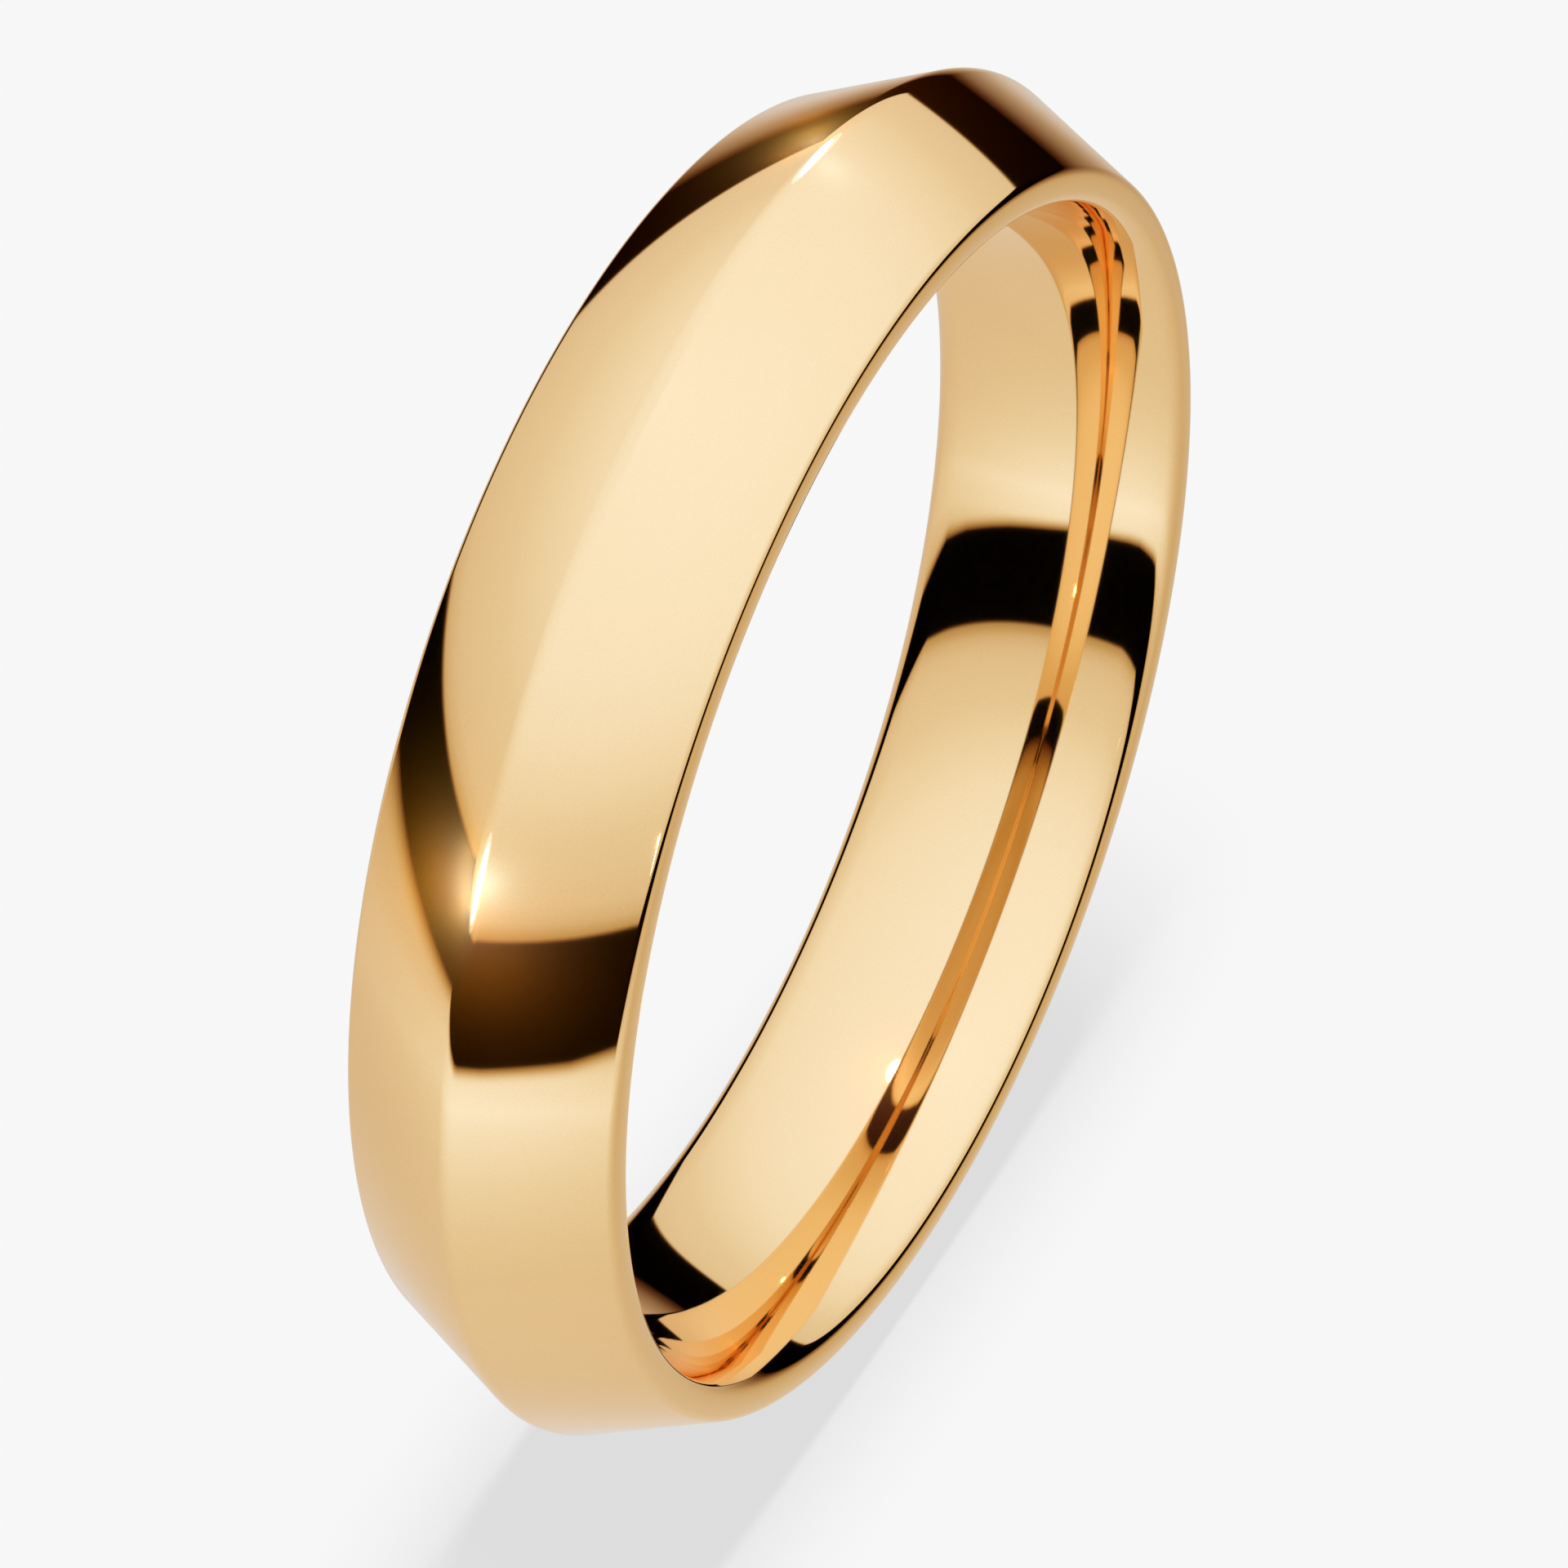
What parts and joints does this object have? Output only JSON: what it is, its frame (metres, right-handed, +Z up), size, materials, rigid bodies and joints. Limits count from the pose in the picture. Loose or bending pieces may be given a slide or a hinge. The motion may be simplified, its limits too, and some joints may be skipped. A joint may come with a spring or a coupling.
{
  "type": "wedding band",
  "caption": "One-piece polished gold finger ring with two flat bevels rising to a softened central ridge and a comfort-curved bore.",
  "frame": {"origin": "centre of the bore, midway across the band's width", "axes": "+Y along the bore axis, +Z up, with the band standing upright on its ridge as in the picture"},
  "size_m": [0.0226, 0.0046, 0.0226],
  "materials": {
    "polished_gold": "polished"
  },
  "bodies": {
    "root": {"band": "polished_gold"}
  },
  "joints": []
}
